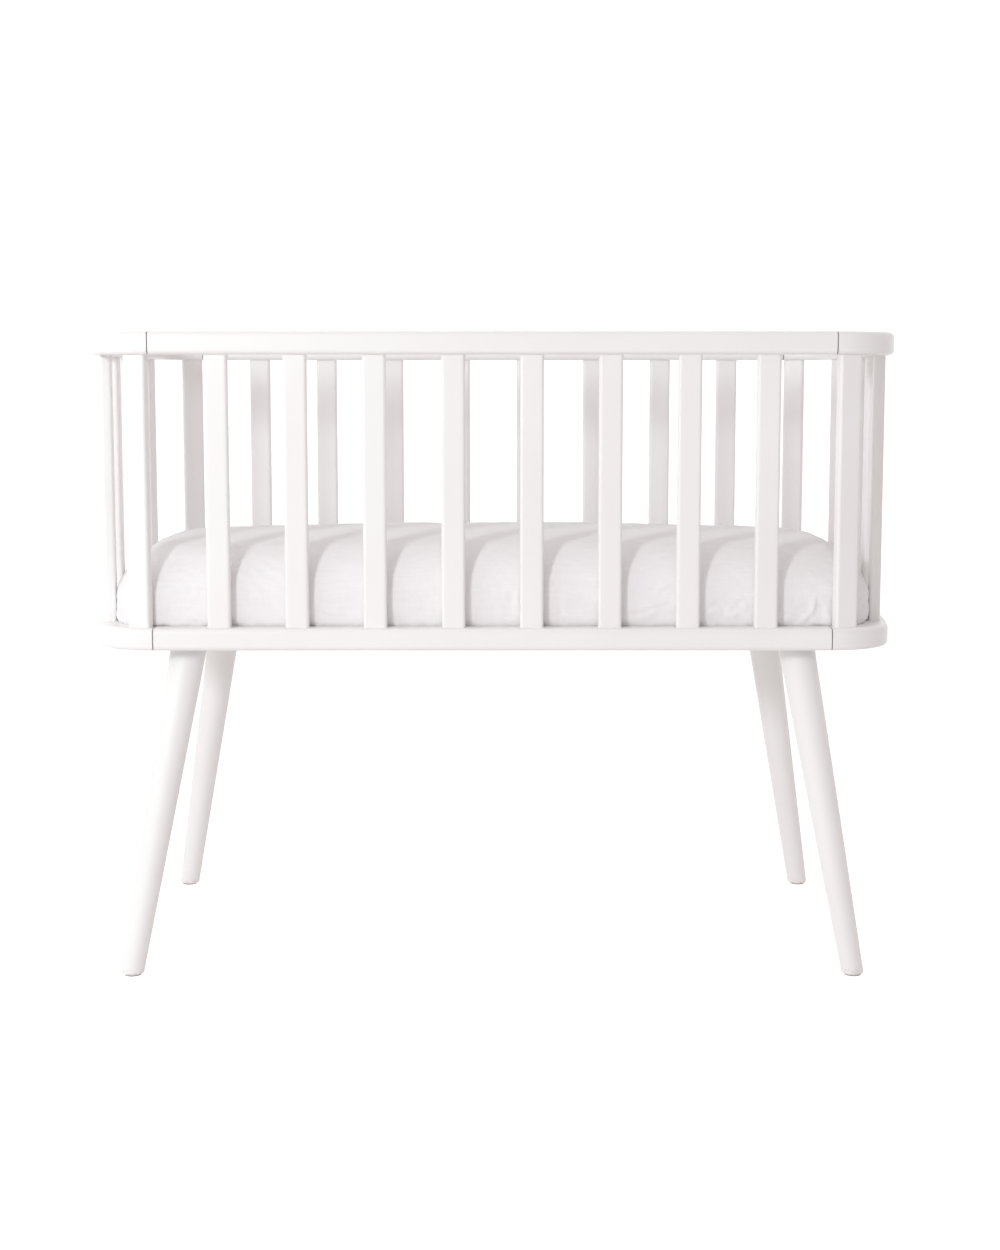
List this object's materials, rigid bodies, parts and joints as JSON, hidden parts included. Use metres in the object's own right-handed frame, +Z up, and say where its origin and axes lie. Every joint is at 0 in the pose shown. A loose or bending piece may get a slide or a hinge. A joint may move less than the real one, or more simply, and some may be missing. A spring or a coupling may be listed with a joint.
{
  "type": "cradle",
  "caption": "White slatted wooden cradle with bowed ends and rounded corners on splayed tapered legs, with a thick mattress under a fitted sheet.",
  "frame": {"origin": "on the floor under the middle of the cradle", "axes": "+X along the length to the right as seen from the front, +Y from front to back, +Z up"},
  "size_m": [0.9214, 0.4446, 0.72],
  "materials": {
    "white_painted_wood": "solid beech, sprayed white satin paint",
    "white_board": "plywood, rolled white paint",
    "bare_beech": "turned beech dowel, bare",
    "zinc_steel": "zinc plated steel",
    "felt": "pressed felt",
    "mattress_cover": "woven cover over foam",
    "sheet_cotton": "white cotton jersey"
  },
  "bodies": {
    "cradle_frame": {"base_board": "white_board", "base_board_screws": "zinc_steel", "foot_pad_back_left": "felt", "foot_pad_back_right": "felt", "foot_pad_front_left": "felt", "foot_pad_front_right": "felt", "leg_back_left": "white_painted_wood", "leg_back_right": "white_painted_wood", "leg_bolt_washers": "zinc_steel", "leg_bolts": "zinc_steel", "leg_dowels": "bare_beech", "leg_front_left": "white_painted_wood", "leg_front_right": "white_painted_wood", "leg_inserts": "zinc_steel", "leg_plate_back_left": "zinc_steel", "leg_plate_back_right": "zinc_steel", "leg_plate_front_left": "zinc_steel", "leg_plate_front_right": "zinc_steel", "leg_plate_screws": "zinc_steel", "lower_back_rail": "white_painted_wood", "lower_front_rail": "white_painted_wood", "lower_left_end_rail": "white_painted_wood", "lower_right_end_rail": "white_painted_wood", "seam_dowels": "bare_beech", "slat_back_1": "white_painted_wood", "slat_back_2": "white_painted_wood", "slat_back_3": "white_painted_wood", "slat_back_4": "white_painted_wood", "slat_back_5": "white_painted_wood", "slat_back_6": "white_painted_wood", "slat_back_7": "white_painted_wood", "slat_back_8": "white_painted_wood", "slat_corner_back_left": "white_painted_wood", "slat_corner_back_right": "white_painted_wood", "slat_corner_front_left": "white_painted_wood", "slat_corner_front_right": "white_painted_wood", "slat_front_1": "white_painted_wood", "slat_front_2": "white_painted_wood", "slat_front_3": "white_painted_wood", "slat_front_4": "white_painted_wood", "slat_front_5": "white_painted_wood", "slat_front_6": "white_painted_wood", "slat_front_7": "white_painted_wood", "slat_front_8": "white_painted_wood", "slat_left_1": "white_painted_wood", "slat_left_2": "white_painted_wood", "slat_left_3": "white_painted_wood", "slat_left_4": "white_painted_wood", "slat_right_1": "white_painted_wood", "slat_right_2": "white_painted_wood", "slat_right_3": "white_painted_wood", "slat_right_4": "white_painted_wood", "upper_back_rail": "white_painted_wood", "upper_front_rail": "white_painted_wood", "upper_left_end_rail": "white_painted_wood", "upper_right_end_rail": "white_painted_wood"},
    "mattress_set": {"mattress": "mattress_cover", "fitted_sheet": "sheet_cotton"}
  },
  "joints": [
    {"name": "mattress_lift", "type": "slide", "parent": "cradle_frame", "child": "mattress_set", "axis": [0, 0, 1], "range_m": [0, 0.345]}
  ]
}
